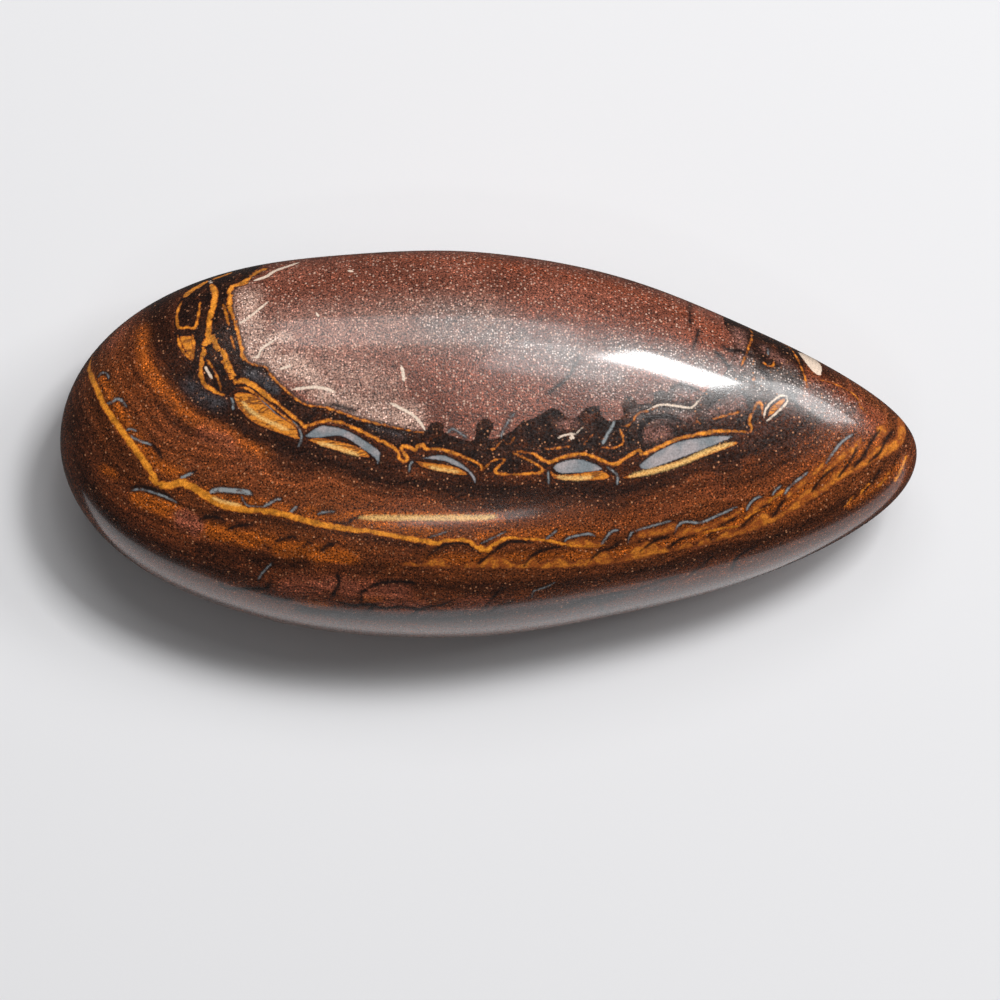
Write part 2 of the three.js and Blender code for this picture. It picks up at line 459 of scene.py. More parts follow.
RED_STAINS = [
    (20, 0.9, [(330, 256), (470, 260), (540, 270), (610, 285), (670, 305), (715, 330)]),
    (16, 0.8, [(690, 335), (720, 345)]),
    (14, 0.7, [(800, 372), (840, 392), (880, 420)]),
]
# Grey haze round the highlight and along the crest's glow: painted sheen, with some grey tone of the stone.
GREY_AND_SHEEN_STAINS = [
    (40, 0.8, [(440, 322), (500, 336), (620, 372)]),
    (26, 0.9, [(620, 350), (680, 362), (800, 393), (840, 410)]),
    (18, 0.6, [(600, 392), (680, 390)]),
    (20, 0.3, [(700, 408), (750, 392)]),
    (20, 0.9, [(745, 362), (760, 380), (790, 378)]),
    (22, 0.8, [(790, 392), (850, 412)]),
    (16, 0.6, [(640, 415), (680, 412)]),
]
BLUSH_STAINS = [
    (13, 1.1, [(648, 433), (664, 434)]),
    (9, 1.0, [(562, 425), (574, 424)]),
    (12, 0.9, [(680, 397), (694, 396)]),
    (10, 0.7, [(655, 418), (690, 418)]),
    (15, 0.8, [(715, 412), (740, 404)]),
    (14, 1.0, [(738, 332), (742, 352), (740, 366)]),
    (11, 0.7, [(765, 350), (785, 364)]),
]
BLUE_STAINS = [
    (10, 1.2, [(250, 373), (262, 378), (274, 388)]),
    (14, 0.8, [(190, 385), (205, 398), (220, 402)]),
    (9, 0.5, [(372, 424), (400, 436)]),
    (11, 0.9, [(330, 612), (420, 616), (580, 602), (660, 588)]),
]
CHALK_STAINS = [
    (30, 0.9, [(245, 300), (250, 335), (270, 358)]),
    (26, 1.0, [(262, 358), (300, 368), (330, 395)]),
    (24, 0.9, [(330, 395), (370, 410), (410, 418)]),
    (50, 0.3, [(290, 330), (350, 330), (420, 322), (480, 322)]),
    (38, 0.4, [(330, 372), (380, 385)]),
    (13, 1.3, [(262, 362), (296, 360)]),
    (10, 1.4, [(270, 338), (284, 336)]),
    (12, 0.9, [(682, 396), (694, 396)]),
]


# The patches in view, and those of the hidden sides, by the name of their field.
STAINS = {
    "orange_stain": ORANGE_STAINS,
    "dark_stain": DARK_STAINS,
    "pink_stain": PINK_STAINS,
    "red_stain": RED_STAINS,
    "grey_and_sheen": GREY_AND_SHEEN_STAINS,
    "blush_stain": BLUSH_STAINS,
    "blue_stain": BLUE_STAINS,
    "chalk": CHALK_STAINS,
}

# The hidden sides carry the same layers on: a gold line round the back and underside, a closed loop inside,
# and opal pods along the net's rim, as (mm along the stone, degrees around it, length, degrees across).
HIDDEN_GOLD = [
    (-16.6, 0), (-15.9, -20), (-14, -38), (-11, -52), (-6, -62), (0, -66), (6, -63), (11.5, -50), (15, -30),
    (16.8, -12), (17.2, 0),
]
HIDDEN_LOOP = [
    (-12, 233), (-9, 225), (-4, 220), (2, 219), (8, 223), (13, 231), (8, 243), (1, 249), (-6, 246),
    (-10, 240), (-12, 233),
]
HIDDEN_PODS = [
    (-8.4, -47, 3.0, 7),
    (-4.4, -53, 3.6, 8),
    (0.4, -54, 3.2, 8),
    (5.0, -49, 3.4, 7),
    (9.4, -40, 2.6, 6),
]
HIDDEN_LINES = [(5.0, HIDDEN_GOLD), (3.4, HIDDEN_LOOP), (1.8, KERNEL_EDGE_HIDDEN), (2.6, NET_HIDDEN)]
HIDDEN_STAINS = {
    "orange_stain": [(16, 1.0, HIDDEN_GOLD), (12, 1.0, HIDDEN_LOOP)],
    "dark_stain": [(13, 0.8, NET_HIDDEN)],
}
POD_CORNERS = 12

# A short hook beside a hidden line, in mm along the stone and degrees around it.
HOOK = [(0, 0), (0.3, 2.4), (0.8, 3.8), (1.6, 3.6)]


def along(values, share):
    """The smooth curve through values, at share of the way from the first to the last."""
    values = np.asarray(values, float)
    last = len(values) - 1
    place = np.clip(share, 0, 1) * last
    i = np.minimum(place.astype(int), last - 1)
    t = place - i
    before, start, end = values[np.maximum(i - 1, 0)], values[i], values[i + 1]
    after = values[np.minimum(i + 2, last)]
    leave = (end - before) / 2
    arrive = (after - start) / 2
    cubic = 2 * start - 2 * end + leave + arrive
    square = 3 * end - 3 * start - 2 * leave - arrive
    return cubic * t**3 + square * t**2 + leave * t + start


def station_at(angle):
    """The lines that the skin of one station is drawn between, at the station's angle."""
    c, s = np.cos(angle), np.sin(angle)
    blunt = (1 + c) / 2
    mid_y = TIP_Y + (BLUNT_END_Y - TIP_Y) * blunt
    mid_z = TIP_Z + (BLUNT_END_Z - TIP_Z) * blunt
    return {
        "mid_z": mid_z,
        "crest_y": mid_y + s * along(CREST_Y, blunt),
        "back_y": mid_y + s * along(BACK, blunt),
        "front_y": mid_y - s * along(FRONT, blunt),
        "crown_z": mid_z + s * along(CROWN, blunt),
        "keel_z": mid_z - s * along(KEEL, blunt),
        "back_z": mid_z + s * along(BACK_GIRDLE_Z, blunt),
        "front_z": mid_z + s * along(FRONT_GIRDLE_Z, blunt),
    }


def skin(angle, turn):
    """Points of the stone's skin in mm, one row each."""
    station = station_at(angle)
    across, up = np.cos(turn), np.sin(turn)
    back = across > 0
    girdle_y = np.where(back, station["back_y"], station["front_y"])
    girdle_z = np.where(back, station["back_z"], station["front_z"])
    top = np.where(back, CROWN_BACK_SQUARENESS, CROWN_FRONT_SQUARENESS)
    power = 2 / np.where(up > 0, top, KEEL_SQUARENESS)
    far_z = np.where(up > 0, station["crown_z"], station["keel_z"])
    wave = 1
    for share, ahead, around, phase in WAVES:
        wave = wave + share * np.sin(ahead * angle + around * turn + phase)
    y = station["crest_y"] + (girdle_y - station["crest_y"]) * np.abs(across) ** power * wave
    height = far_z - girdle_z + (far_z - station["mid_z"]) * (wave - 1)
    z = girdle_z + height * np.abs(up) ** power
    soft = (np.clip(z, -BASE_SOFTENING, BASE_SOFTENING) + BASE_SOFTENING) ** 2 / (4 * BASE_SOFTENING)
    z = np.where(z > BASE_SOFTENING, z, soft)
    return np.stack([-LENGTH / 2 * np.cos(angle), y, z], axis=-1)


def skin_normal(angle, turn, step=0.002):
    """The skin's outward normals, from its slopes along and around the stone."""
    along_slope = skin(angle + step, turn) - skin(angle - step, turn)
    around_slope = skin(angle, turn + step) - skin(angle, turn - step)
    normal = np.cross(around_slope, along_slope)
    length = np.linalg.norm(normal, axis=1, keepdims=True)
    ends = np.stack([-np.cos(angle), 0 * angle, 0 * angle], axis=-1)
    return np.where(length > TINY, normal / np.maximum(length, TINY), ends)


def under_pixel(pixels):
    """The skin's angle and turn under points of the photo. One outside the stone lands on its widest line."""
    pixels = np.asarray(pixels, float)
    z = np.full(len(pixels), GIRDLE_HEIGHT)
    for _ in range(PLACING_ROUNDS):
        mm_per_pixel = (CAMERA_HEIGHT - z) / FOCAL_PIXELS
        x = CAMERA_X + (pixels[:, 0] - FRAME_PIXELS / 2) * mm_per_pixel
        y = CAMERA_Y - (pixels[:, 1] - FRAME_PIXELS / 2) * mm_per_pixel
        angle = np.arccos(np.clip(-x / (LENGTH / 2), -1, 1))
        station = station_at(angle)
        back = y > station["crest_y"]
        girdle_y = np.where(back, station["back_y"], station["front_y"])
        share = np.clip((y - station["crest_y"]) / (girdle_y - station["crest_y"] + TINY), 0, 1)
        squareness = np.where(back, CROWN_BACK_SQUARENESS, CROWN_FRONT_SQUARENESS)
        turn = np.arccos(share ** (squareness / 2))
        turn = np.where(back, turn, pi - turn)
        z = skin(angle, turn)[:, 2]
    return angle, turn


def at_hidden(places):
    """The angle and turn of points given in mm along the stone and degrees around it."""
    x, degrees = np.asarray(places, float).T
    return np.arccos(np.clip(-x / (LENGTH / 2), -1, 1)), np.radians(degrees)


def smooth_line(points, step=MARK_STEP):
    """Points every step along the smooth curve through the given ones."""
    points = np.asarray(points, float)
    lengths = np.linalg.norm(np.diff(points, axis=0), axis=1)
    counts = np.maximum((lengths / step).astype(int), 1)
    places = np.concatenate([i + np.arange(n) / n for i, n in enumerate(counts)] + [[len(points) - 1]])
    share = places / (len(points) - 1)
    return np.stack([along(points[:, 0], share), along(points[:, 1], share)], axis=-1)


def chart(angle, turn):
    """A flat map of the whole skin: mm along the stone, and degrees around it from -90 to 270."""
    degrees = (np.degrees(turn) + 90) % 360 - 90
    return np.stack([-LENGTH / 2 * np.cos(angle), degrees], axis=-1)


def traced(points):
    """A line traced in the photo, as angles and turns of the skin."""
    return under_pixel(smooth_line(points))


def hidden(places):
    """A line of a hidden side, as angles and turns of the skin."""
    return at_hidden(smooth_line(places, HIDDEN_STEP))


def joined(*lines):
    return tuple(np.concatenate(parts) for parts in zip(*lines))


KERNEL_RIM = joined(traced(KERNEL_EDGE_LINED + KERNEL_EDGE_BARE), hidden(KERNEL_EDGE_HIDDEN))
NET_RIM = joined(traced(NET_LEFT), traced(NET_FRONT), traced(NET_RIGHT), hidden(NET_HIDDEN))


class Marks:
    """Points along the markings of one kind, each with its half width in pixels of the photo."""

    def __init__(self):
        self.points = []
        self.halves = []

    def add(self, line, width):
        points = skin(*line)
        from_ends = np.sin(np.linspace(0, pi, len(points)))
        self.points.append(points)
        self.halves.append(width / 2 * np.minimum(1, TAPER_START + TAPER_RISE * from_ends))

    def close(self):
        self.points = np.concatenate(self.points)
        self.halves = np.concatenate(self.halves)
        self.tree = KDTree(len(self.points))
        for i, point in enumerate(self.points):
            self.tree.insert(point, i)
        self.tree.balance()

    def depth_at(self, places):
        """How deep each place is in the nearest mark, in pixels: over 0 in it, under 0 outside."""
        found = [self.tree.find(place) for place in places]
        distance = np.array([hit[2] for hit in found])
        half = self.halves[[hit[1] for hit in found]]
        return half - distance * PIXELS_PER_MM


def inside(rim, angle, turn):
    """Whether each place is inside a closed line, on the flat map of the skin."""
    corners = chart(*rim)
    places = chart(angle, turn)
    near = np.all((places >= corners.min(axis=0)) & (places <= corners.max(axis=0)), axis=1)
    x, degrees = places[near].T
    crossed = np.zeros(len(x), bool)
    for a, b in zip(corners, np.roll(corners, -1, axis=0)):
        crosses = (a[1] > degrees) != (b[1] > degrees)
        rise = b[1] - a[1] if abs(b[1] - a[1]) > TINY else TINY
        crossed ^= crosses & (x < a[0] + (degrees - a[1]) * (b[0] - a[0]) / rise)
    near[near] = crossed
    return near


def depth_in(rims, angle, turn, places):
    """How deep each place is inside the nearest of some closed lines, in pixels."""
    edge = Marks()
    within = np.zeros(len(places), bool)
    for rim in rims:
        edge.add(rim, 0)
        within |= inside(rim, angle, turn)
    edge.close()
    distance = -edge.depth_at(places)
    return np.where(within, distance, -distance)


def stain_at(stains, hidden_stains, places):
    """Soft patches: each falls from its strength on its line to nothing at its radius."""
    lines = []
    for radius, strength, line in stains:
        lines.append((radius, strength, under_pixel(smooth_line(line, radius / 4))))
    for radius, strength, line in hidden_stains:
        lines.append((radius, strength, at_hidden(smooth_line(line, HIDDEN_STAIN_STEP))))
    most = np.zeros(len(places))
    for radius, strength, line in lines:
        points = skin(*line)
        reach = radius / PIXELS_PER_MM
        middle = (points.min(axis=0) + points.max(axis=0)) / 2
        near = np.all(np.abs(places - middle) < np.ptp(points, axis=0) / 2 + reach, axis=1)
        distance = np.min([np.linalg.norm(places[near] - point, axis=1) for point in points], axis=0)
        share = np.clip(1 - distance / reach, 0, 1)
        most[near] = np.maximum(most[near], strength * share * share * (3 - 2 * share))
    return most


def all_lines(lines, hidden_lines=()):
    marks = Marks()
    for width, points in lines:
        marks.add(traced(points), width)
    for width, places in hidden_lines:
        marks.add(hidden(places), width)
    return marks


def strokes_along(line, count, width, lean, seed):
    """Short hooked strokes that leave a hidden line at even steps."""
    random = np.random.RandomState(seed)
    line = np.array(line, float)
    strokes = []
    for share in (np.arange(count) + 0.5) / count:
        size = random.uniform(0.6, 1.4)
        start = np.array([along(line[:, 0], share), along(line[:, 1], share)])
        hook = np.array(HOOK) * [size, size * lean]
        strokes.append((width * random.uniform(0.7, 1.3), start + hook))
    return strokes


def pod_outline(x, degrees, length, across):
    turns = np.arange(POD_CORNERS + 1) % POD_CORNERS * 2 * pi / POD_CORNERS
    return np.stack([x + length / 2 * np.cos(turns), degrees + across / 2 * np.sin(turns)], axis=-1)


def markings():
    """The stone's markings by name, ready to be measured from."""
    kinds = {
        "ochre": all_lines(ORANGE_LINES + GOLD_LINES, HIDDEN_LINES),
        "sliver": all_lines(OPAL_LINES, strokes_along(HIDDEN_GOLD, count=15, width=3.0, lean=1, seed=3)),
        "dark": all_lines(
            DARK_LINES + FLANK_CRACKS,
            strokes_along(HIDDEN_GOLD, count=24, width=2.8, lean=-1.3, seed=5)
            + strokes_along(HIDDEN_LOOP, count=22, width=2.6, lean=1.4, seed=8),
        ),
        "pale": all_lines(PALE_LINES),
        "painted_glint": all_lines(PAINTED_GLINT_LINES),
    }
    for marks in kinds.values():
        marks.close()
    return kinds


def halve(angle, facing, faces, marked):
    """Halves the sides that marked picks by their ends, and cuts the triangles beside them to match."""
    sides = np.sort(np.concatenate([faces[:, [0, 1]], faces[:, [1, 2]], faces[:, [2, 0]]]), axis=1)
    sides, where = np.unique(sides, axis=0, return_inverse=True)
    chosen = marked(sides)
    middle = np.full(len(sides), -1)
    middle[chosen] = len(angle) + np.arange(chosen.sum())
    angle = np.concatenate([angle, angle[sides[chosen]].mean(axis=1)])
    facing = np.concatenate([facing, facing[sides[chosen]].mean(axis=1)])
    cuts = middle[where.reshape(3, -1).T]
    count = (cuts >= 0).sum(axis=1)

    # Turn each triangle so that a lone cut is on its first side, and a lone whole side is its last.
    after_whole = (np.argmin(cuts, axis=1) + 1) % 3
    first = np.where(count == 1, np.argmax(cuts >= 0, axis=1), np.where(count == 2, after_whole, 0))
    order = (first[:, None] + np.arange(3)) % 3
    a, b, c = np.take_along_axis(faces, order, axis=1).T
    ab, bc, ca = np.take_along_axis(cuts, order, axis=1).T
    pieces = [faces[count == 0]]
    for cut_sides, corners in [
        (1, [(a, ab, c), (ab, b, c)]),
        (2, [(ab, b, bc), (a, ab, bc), (a, bc, c)]),
        (3, [(a, ab, ca), (ab, b, bc), (ca, bc, c), (ab, bc, ca)]),
    ]:
        pieces += [np.stack(corner, axis=-1)[count == cut_sides] for corner in corners]
    return angle, facing, np.concatenate(pieces)


def even_turns():
    """Turns that are the same distance apart round the middle station."""
    turns = np.linspace(0, 2 * pi, RING_SAMPLES)
    ring = skin(np.full(len(turns), pi / 2), turns)
    walked = np.concatenate([[0], np.cumsum(np.linalg.norm(np.diff(ring, axis=0), axis=1))])
    return np.interp(np.arange(STEPS_AROUND) / STEPS_AROUND * walked[-1], walked, turns)


def plain_grid():
    """The whole skin in even steps: each point's angle, the way it faces around, and the triangles."""
    angles = np.repeat(np.arange(1, STEPS_ALONG) * pi / STEPS_ALONG, STEPS_AROUND)
    turns = np.tile(even_turns(), STEPS_ALONG - 1)
    angle = np.concatenate([angles, [0, pi]])
    facing = np.concatenate([np.stack([np.cos(turns), np.sin(turns)], axis=-1), np.zeros((2, 2))])
    ring = np.arange(STEPS_AROUND)
    after = (ring + 1) % STEPS_AROUND
    tip, blunt = len(angles), len(angles) + 1
    triangles = [np.stack([ring, after, ring * 0 + tip], axis=-1)]
    for k in range(STEPS_ALONG - 2):
        here, there = k * STEPS_AROUND, (k + 1) * STEPS_AROUND
        triangles.append(np.stack([here + ring, there + ring, there + after], axis=-1))
        triangles.append(np.stack([here + ring, there + after, here + after], axis=-1))
    last = (STEPS_ALONG - 2) * STEPS_AROUND
    triangles.append(np.stack([last + after, last + ring, ring * 0 + blunt], axis=-1))
    return angle, facing, np.concatenate(triangles)


def turn_of(facing):
    return np.arctan2(facing[:, 1], facing[:, 0])


def stone_mesh(kinds, rims):
    """The skin's angles, turns and triangles, with fine triangles along the markings."""
    angle, facing, faces = plain_grid()
    edges = Marks()
    for rim in rims:
        edges.add(rim, 0)
    edges.close()
    trees = [*kinds.values(), edges]
    shown_side = np.array([np.cos(radians(SHOWN_DEGREES)), np.sin(radians(SHOWN_DEGREES))])

    def beside_a_mark(sides):
        places = skin(angle, turn_of(facing))
        length = np.linalg.norm(places[sides[:, 0]] - places[sides[:, 1]], axis=1)
        shown = facing[sides[:, 0]] @ shown_side > 0
        long = length > np.where(shown, FINE_EDGE, FINE_EDGE_BEHIND)
        ends = np.unique(sides[long])
        gap = np.full(len(places), np.inf)
        gap[ends] = np.min([np.abs(marks.depth_at(places[ends])) for marks in trees], axis=0) / PIXELS_PER_MM
        return long & (gap[sides].min(axis=1) < length)

    for _ in range(FINE_PASSES):
        angle, facing, faces = halve(angle, facing, faces, beside_a_mark)
    return angle, turn_of(facing), faces


def srgb(red, green, blue):
    """A colour of the photo, 0 to 255 a channel, as the shader takes it."""
    shares = [channel / 255 for channel in (red, green, blue)]
    return (*[((c + 0.055) / 1.055) ** 2.4 if c > 0.04 else c / 12.92 for c in shares], 1)


class Shader:
    """Short calls that add nodes to the stone's material. Each returns an output that others can take."""

    def __init__(self, name):
        self.material = bpy.data.materials.new(name)
        self.material.use_nodes = True
        self.tree = self.material.node_tree
        self.surface = self.tree.nodes["Principled BSDF"]
        self.place = self.node("ShaderNodeTexCoord").outputs["Object"]
        self.grain = self.noise(0.075, 2, 0.7)
        self.ragged = self.centred(self.noise(0.13, 3, 0.75), 1.5)
        self.torn = self.add(self.ragged, self.centred(self.noise(0.4, 3, 0.6), 3))
        self.in_net = self.ramp(self.depth("flow", 1.2), 0.6, -0.6)
        self.in_kernel = self.ramp(self.depth("kernel", 1.6), -0.5, 0.5)

    def node(self, kind, inputs=(), **settings):
        node = self.tree.nodes.new(kind)
        for key, value in settings.items():
            setattr(node, key, value)
        for key, value in dict(inputs).items():
            self.put(value, node.inputs[key])
        return node

    def put(self, value, socket):
        if isinstance(value, bpy.types.NodeSocket):
            self.tree.links.new(value, socket)
        else:
            socket.default_value = value

    def field(self, name):
        return self.node("ShaderNodeAttribute", attribute_name=name).outputs["Fac"]

    def depth(self, name, raggedness):
        """A marking's depth, with a ragged edge."""
        return self.add(self.field(name), self.times(self.ragged, raggedness))

    def math(self, operation, a, b=0.0, c=0.0):
        return self.node("ShaderNodeMath", {0: a, 1: b, 2: c}, operation=operation).outputs[0]

    def add(self, a, b):
        return self.math("ADD", a, b)

    def times(self, a, b):
        return self.math("MULTIPLY", a, b)

    def most(self, a, b):
        return self.math("MAXIMUM", a, b)

    def ramp(self, value, low, high, start=0.0, end=1.0, smooth=True):
        """value between low and high, as start to end."""
        shape = "SMOOTHSTEP" if smooth else "LINEAR"
        inputs = {"Value": value, "From Min": low, "From Max": high, "To Min": start, "To Max": end}
        return self.node("ShaderNodeMapRange", inputs, interpolation_type=shape).outputs["Result"]

    def blend(self, share, a, b):
        node = self.node("ShaderNodeMix", data_type="RGBA")
        colours = [socket for socket in node.inputs if socket.type == "RGBA"]
        self.put(share, node.inputs[0])
        self.put(a, colours[0])
        self.put(b, colours[1])
        return [socket for socket in node.outputs if socket.type == "RGBA"][0]

    def noise(self, size_mm, detail=2.0, roughness=0.5, distortion=0.0, vector=None):
        """Cloudy noise from 0 to 1, with features of about that size."""
        inputs = {
            "Vector": vector or self.place,
            "Scale": 1 / (size_mm * MM),
            "Detail": detail,
            "Roughness": roughness,
            "Distortion": distortion,
        }
        return self.node("ShaderNodeTexNoise", inputs).outputs["Fac"]

    def centred(self, noise, amount):
        """Noise from 0 to 1 as a change of up to amount each way."""
        return self.math("MULTIPLY_ADD", noise, 2 * amount, -amount)

    def colours(self, value, stops):
        node = self.node("ShaderNodeValToRGB", {"Fac": value})
        ramp = node.color_ramp
        while len(ramp.elements) < len(stops):
            ramp.elements.new(0.5)
        for element, (place, colour) in zip(ramp.elements, stops):
            element.position = place
            element.color = colour
        return node.outputs["Color"]

    def scaled(self, vector, factor):
        """A place, or a colour made lighter or darker, times a factor."""
        return self.node("ShaderNodeVectorMath", {0: vector, "Scale": factor}, operation="SCALE").outputs[0]

    def grained(self, colour, darkest, lightest, spread=0.16):
        """A colour made darker and lighter by the stone's grain. A narrow spread gives hard contrasts."""
        grain = self.ramp(self.grain, 0.5 - spread, 0.5 + spread, darkest, lightest, smooth=False)
        return self.scaled(colour, grain)

    def specks(self, spacing_mm, radius, share):
        """Small round specks: 1 in the middle of each, in about that share of the cells."""
        inputs = {"Vector": self.place, "Scale": 1 / (spacing_mm * MM)}
        cells = self.node("ShaderNodeTexVoronoi", inputs)
        chance = self.node("ShaderNodeSeparateColor", {"Color": cells.outputs["Color"]}).outputs[0]
        round_part = self.ramp(cells.outputs["Distance"], radius, radius * 0.4)
        return self.times(round_part, self.ramp(chance, 1 - share, 1 - share * 0.4))


# How the layers change with their depth outside the net, in pixels of the photo over FLOW_SPAN.
FLOW_SPAN = 260
FLOW_STOPS = [
    (0.00, srgb(77, 37, 19)),
    (0.10, srgb(60, 30, 17)),
    (0.16, srgb(82, 41, 21)),
    (0.22, srgb(126, 64, 31)),
    (0.31, srgb(115, 59, 28)),
    (0.40, srgb(106, 54, 25)),
    (0.48, srgb(84, 42, 22)),
    (0.56, srgb(124, 62, 31)),
    (0.66, srgb(98, 48, 26)),
    (0.76, srgb(134, 68, 34)),
    (0.86, srgb(91, 46, 24)),
    (1.00, srgb(124, 63, 31)),
]

# Streaks follow the layers: their width in pixels of the photo, and how fast they change, per mm.
STREAK_WIDTH = 6
STREAK_DRIFT = 0.16

# Soft stains, as (field, size of its clouds in mm, strength between the clouds, colour).
LAYER_STAINS = [
    ("orange_stain", 0.5, 0.55, srgb(178, 90, 26)),
    ("dark_stain", 0.8, 0.5, srgb(46, 23, 14)),
    ("pink_stain", 0.6, 0.3, srgb(158, 86, 62)),
]
TOP_STAINS = [
    # The grey row paints the sheen round the highlight.
    ("red_stain", 0.9, 0.4, srgb(138, 68, 42)),
    ("grey_and_sheen", 0.7, 0.3, srgb(104, 94, 90)),
    ("blush_stain", 0.2, 0.1, srgb(150, 102, 90)),
    ("blue_stain", 0.4, 0.3, srgb(74, 71, 74)),
]

# The dark halo beside each marking, as (field, depth where it starts, depth where it is darkest, darkness).
HALOS = [
    ("dark", -4, 0, 0.5),
    ("opal", -3, -0.4, 0.7),
    ("sliver", -3, -0.4, 0.65),
    ("gold", -3.6, -0.5, 0.75),
]
NET_LINE_HALO = ("ochre", -3.6, -0.6, 0.75)


def ironstone(sh, flow):
    """The brown layers outside the net."""
    base = sh.colours(sh.math("DIVIDE", flow, FLOW_SPAN), FLOW_STOPS)
    warm = sh.ramp(sh.noise(1.6, 5, 0.6), 0.45, 0.72, 0, 0.35)
    base = sh.blend(warm, base, srgb(146, 72, 28))
    cool = sh.ramp(sh.noise(2.3, 4, 0.6, 0.4), 0.5, 0.75, 0, 0.4)
    return sh.blend(cool, base, srgb(106, 54, 36))


def streaked(sh, flow, colour):
    """Fine light and dark layers that follow the net's rim."""
    across = sh.node("ShaderNodeCombineXYZ", {"X": sh.math("DIVIDE", flow, STREAK_WIDTH)}).outputs[0]
    drift = sh.scaled(sh.place, STREAK_DRIFT / MM)
    layered = sh.node("ShaderNodeVectorMath", {0: across, 1: drift}, operation="ADD").outputs[0]
    streaks = sh.node("ShaderNodeTexNoise", {"Vector": layered, "Scale": 1.0, "Detail": 4.0}).outputs["Fac"]
    return sh.scaled(colour, sh.ramp(streaks, 0.34, 0.66, 0.62, 1.36, smooth=False))


def net_ground(sh):
    """The black-brown band between the kernel and the net's rim."""
    mottle = sh.ramp(sh.noise(0.5, 4, 0.65), 0.42, 0.66)
    base = sh.blend(mottle, srgb(34, 18, 13), srgb(64, 35, 23))
    warm = sh.ramp(sh.noise(0.9, 3, 0.6, 0.6), 0.52, 0.68, 0, 0.6)
    return sh.blend(warm, base, srgb(92, 44, 20))


def kernel(sh):
    """The pinkish-brown kernel, paler where it is chalky."""
    mottle = sh.ramp(sh.noise(2.5, 5, 0.6), 0.35, 0.68)
    base = sh.blend(mottle, srgb(112, 60, 43), srgb(140, 80, 61))
    patchy = sh.ramp(sh.noise(0.6, 5, 0.7), 0.3, 0.62, 0.35, 1.0)
    chalk = sh.times(sh.field("chalk"), patchy)
    return sh.blend(sh.math("MINIMUM", chalk, 0.85), base, srgb(206, 168, 150))


def stained(sh, colour, stains):
    """Soft patches of other colours, each thinner where its own cloudy noise is low."""
    for field, cloud_mm, thinnest, paint in stains:
        clouds = sh.ramp(sh.noise(cloud_mm, 4, 0.7), 0.3, 0.65, thinnest, 1.0)
        share = sh.math("MINIMUM", sh.times(sh.field(field), clouds), 0.95)
        colour = sh.blend(share, colour, paint)
    return colour


def ground(sh):
    """The colours under the lines: brown layers, the dark net, the kernel and their soft stains, with a painted
    sheen among them.
    """
    flow = sh.add(sh.field("flow"), sh.centred(sh.noise(3.2, 3), 9))
    colour = stained(sh, ironstone(sh, flow), LAYER_STAINS)
    colour = streaked(sh, flow, colour)
    colour = sh.blend(sh.in_net, colour, net_ground(sh))
    colour = sh.blend(sh.in_kernel, colour, kernel(sh))
    return stained(sh, colour, TOP_STAINS)


def crumbly(sh, colour):
    """Light and dark crumbs, chalky ones in the kernel, and in the hazy patches a salt and pepper that paints
    the glints of a sheen.
    """
    colour = sh.grained(colour, 0.12, 1.9, spread=0.14)
    colour = sh.scaled(colour, sh.math("MULTIPLY_ADD", sh.specks(0.1, 0.45, 0.45), 1.6, 0.78))
    # The salt and pepper over the grey haze and the chalk paints the glints of a sheen.
    glinting_haze = sh.math("MINIMUM", sh.most(sh.field("grey_and_sheen"), sh.times(sh.field("chalk"), 0.6)), 1.0)
    for crumbs, where, strength, paint in [
        (sh.specks(0.14, 0.42, 0.5), sh.in_kernel, 0.65, srgb(220, 180, 160)),
        (sh.specks(0.12, 0.45, 0.7), glinting_haze, 0.8, srgb(58, 38, 32)),
        (sh.specks(0.1, 0.45, 0.7), glinting_haze, 0.9, srgb(244, 228, 218)),
    ]:
        colour = sh.blend(sh.times(crumbs, sh.times(where, strength)), colour, paint)
    return colour


def haloed(sh, colour):
    """Dark seams beside the lines and round the pods, with pale specks over them."""

    def halo(field, start, end, darkness):
        return sh.ramp(sh.field(field), start, end, 0, darkness)

    seams = sh.times(halo(*NET_LINE_HALO), sh.in_net)
    for settings in HALOS:
        seams = sh.most(seams, halo(*settings))
    colour = sh.blend(seams, colour, srgb(34, 18, 12))
    specks = sh.most(sh.specks(0.24, 0.24, 0.5), sh.times(sh.specks(0.14, 0.34, 0.3), 0.5))
    speck_colour = sh.blend(sh.in_kernel, srgb(224, 156, 112), srgb(236, 190, 164))
    return sh.blend(sh.times(specks, 0.7), colour, speck_colour)


def orange_bodies(sh, colour):
    """The stepped orange bodies of the front band, torn at their edges."""
    depth = sh.add(sh.field("body"), sh.times(sh.torn, 1.2))
    core = sh.ramp(sh.noise(0.35, 4, 0.7), 0.38, 0.62)
    paint = sh.blend(core, srgb(150, 76, 30), srgb(208, 124, 42))
    paint = sh.blend(sh.ramp(depth, 3.5, 0.0), paint, srgb(118, 58, 26))
    return sh.blend(sh.ramp(depth, -1.2, 1.2), colour, sh.grained(paint, 0.6, 1.35))


def dark_cracks(sh, colour):
    depth = sh.add(sh.field("dark"), sh.times(sh.torn, 0.6))
    return sh.blend(sh.times(sh.ramp(depth, -1.2, 0.8), 0.9), colour, srgb(24, 15, 14))


def milky_opal(sh, colour):
    """The grey-blue opal of the pods, darker at its rim."""
    depth = sh.depth("opal", 0.6)
    milk = sh.blend(sh.ramp(sh.noise(0.9, 3), 0.38, 0.62), srgb(126, 132, 136), srgb(168, 158, 158))
    milk = sh.blend(sh.ramp(depth, -0.2, 1.6), srgb(66, 72, 78), sh.grained(milk, 0.75, 1.25, spread=0.2))
    return sh.blend(sh.ramp(depth, -0.6, 0.4), colour, milk)


def opal_slivers(sh, colour):
    """Thin lines of opal, broken here and there."""
    depth = sh.depth("sliver", 0.8)
    paint = sh.blend(sh.ramp(depth, -0.2, 1.4), srgb(84, 88, 92), srgb(158, 164, 166))
    broken = sh.ramp(sh.noise(0.3, 3, 0.65), 0.38, 0.52, 0.25, 0.85)
    return sh.blend(sh.times(sh.ramp(depth, -0.7, 0.5), broken), colour, paint)


